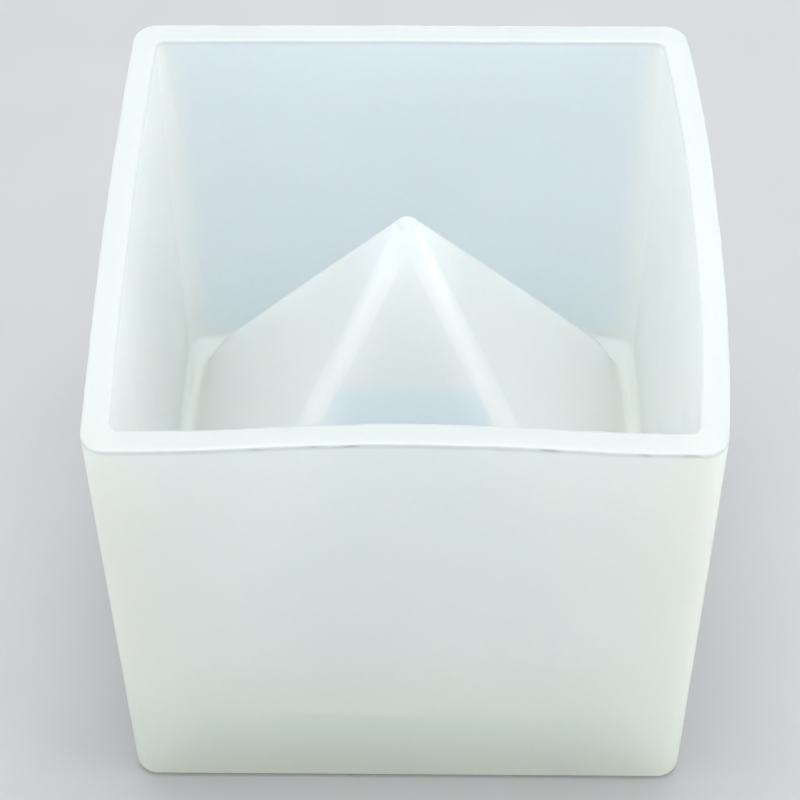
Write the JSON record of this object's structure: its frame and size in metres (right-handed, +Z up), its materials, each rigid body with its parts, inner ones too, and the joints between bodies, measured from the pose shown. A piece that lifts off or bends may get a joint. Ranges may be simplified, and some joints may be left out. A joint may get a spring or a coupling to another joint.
{
  "type": "resin casting mould",
  "caption": "Square silicone mould lying mouth down: a straight open skirt round a hollow pyramid whose tip rises to the skirt's rim.",
  "frame": {"origin": "middle of the pouring side, in the plane that the mould lies on in the picture", "axes": "+Z up, from the pouring side to the foot rim, +Y to the rear as pictured, +X to the right"},
  "size_m": [0.1, 0.1, 0.0945],
  "materials": {
    "silicone": "frosted translucent white"
  },
  "bodies": {
    "root": {"pour_lip_front": "silicone", "skirt_front_wall": "silicone", "pyramid_front_side": "silicone", "pour_lip_rear": "silicone", "skirt_rear_wall": "silicone", "pyramid_rear_side": "silicone", "pour_lip_left": "silicone", "skirt_left_wall": "silicone", "pyramid_left_side": "silicone", "pour_lip_right": "silicone", "skirt_right_wall": "silicone", "pyramid_right_side": "silicone", "pyramid_tip": "silicone"}
  },
  "joints": []
}
